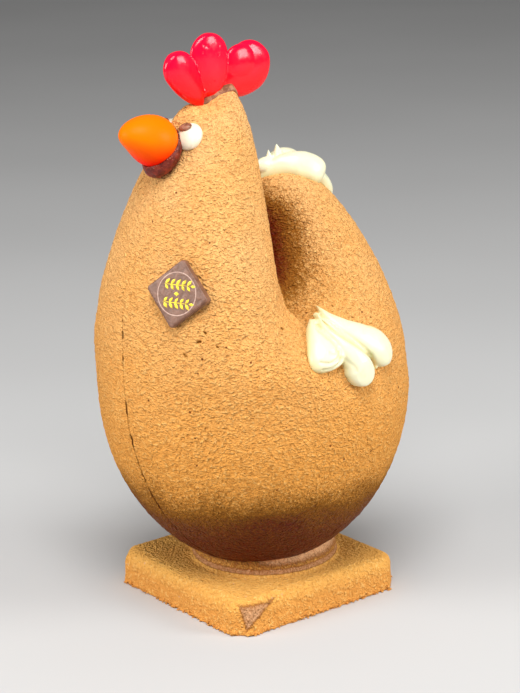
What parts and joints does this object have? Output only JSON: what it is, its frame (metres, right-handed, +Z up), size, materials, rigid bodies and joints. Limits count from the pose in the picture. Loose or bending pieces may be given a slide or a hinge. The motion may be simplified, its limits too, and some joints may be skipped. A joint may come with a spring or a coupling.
{
  "type": "hen-shaped chocolate egg",
  "caption": "Moulded chocolate egg shaped as a sitting hen on a square base, with piped wings and tail, comb, beak, eyes and a blank plaque.",
  "frame": {"origin": "centre of the base's underside", "axes": "+Z up along the height; the front, with the beak, faces -Y; the plaque is on the +X side"},
  "size_m": [0.1416, 0.1348, 0.2467],
  "materials": {
    "sprayed_base": "velvet spray of fine cocoa butter grains over dark chocolate",
    "sprayed_body": "velvet spray of fine cocoa butter grains over dark chocolate",
    "red_chocolate": "glossy moulded chocolate",
    "brown_set_chocolate": "set melted chocolate",
    "orange_chocolate": "glossy moulded chocolate",
    "dark_set_chocolate": "set melted chocolate with small bubbles",
    "eye_white": "glossy white chocolate drop",
    "pupil_brown": "glossy milk chocolate drop",
    "piped_white": "satin piped white chocolate",
    "plaque_chocolate": "satin milk chocolate with a gold transfer ornament"
  },
  "bodies": {
    "root": {"base": "sprayed_base", "body": "sprayed_body", "comb": "red_chocolate", "comb_glue": "brown_set_chocolate", "beak": "orange_chocolate", "beak_glue": "dark_set_chocolate", "eye_left": "eye_white", "eye_right": "eye_white", "pupil_left": "pupil_brown", "pupil_right": "pupil_brown", "wing_left": "piped_white", "wing_right": "piped_white", "tail_feathers": "piped_white", "plaque": "plaque_chocolate"}
  },
  "joints": []
}
